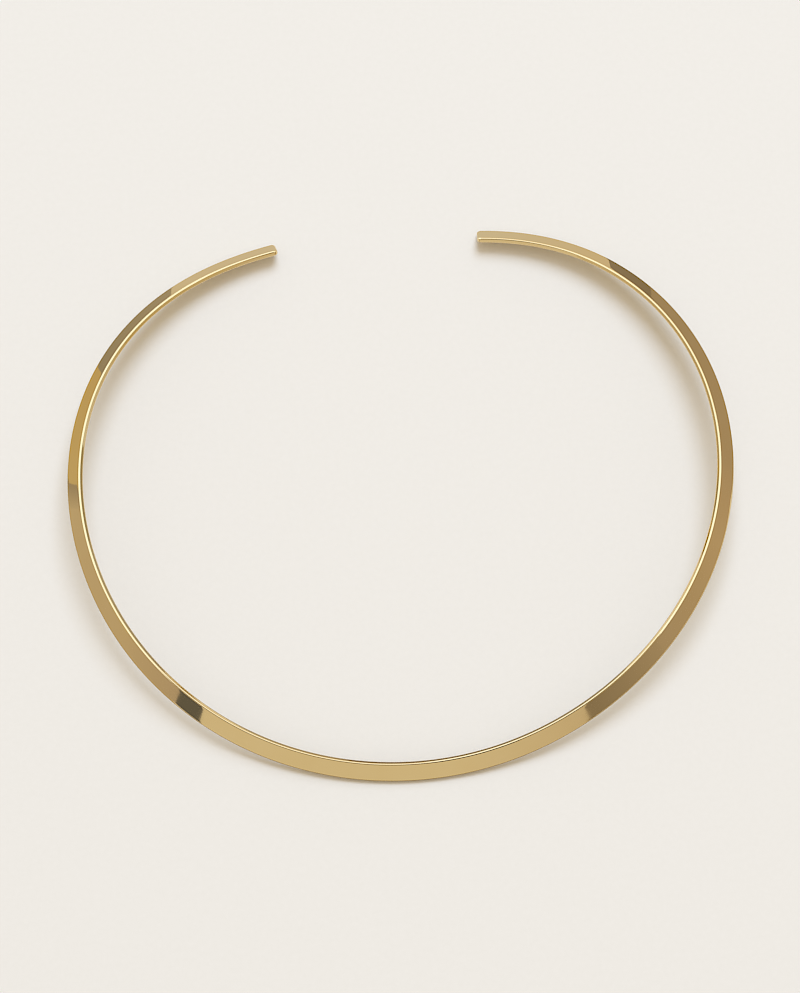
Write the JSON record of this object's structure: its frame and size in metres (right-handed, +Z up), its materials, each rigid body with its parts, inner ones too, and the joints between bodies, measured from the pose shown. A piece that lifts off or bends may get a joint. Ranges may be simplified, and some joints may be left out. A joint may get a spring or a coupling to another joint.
{
  "type": "collar necklace",
  "caption": "Rigid open collar necklace: a flat polished bar bent once round the neck, leaning outwards, with arched sides and a gap at the back.",
  "frame": {"origin": "under the middle of the collar's outline, on the surface that its front and its two ends lie on", "axes": "+X across the collar, to the right of someone looking from the front; -Y to the front, +Y to the open back; +Z up"},
  "size_m": [0.1362, 0.1176, 0.0111],
  "materials": {
    "gold": "polished yellow gold plate"
  },
  "bodies": {
    "root": {"collar_band": "gold"}
  },
  "joints": []
}
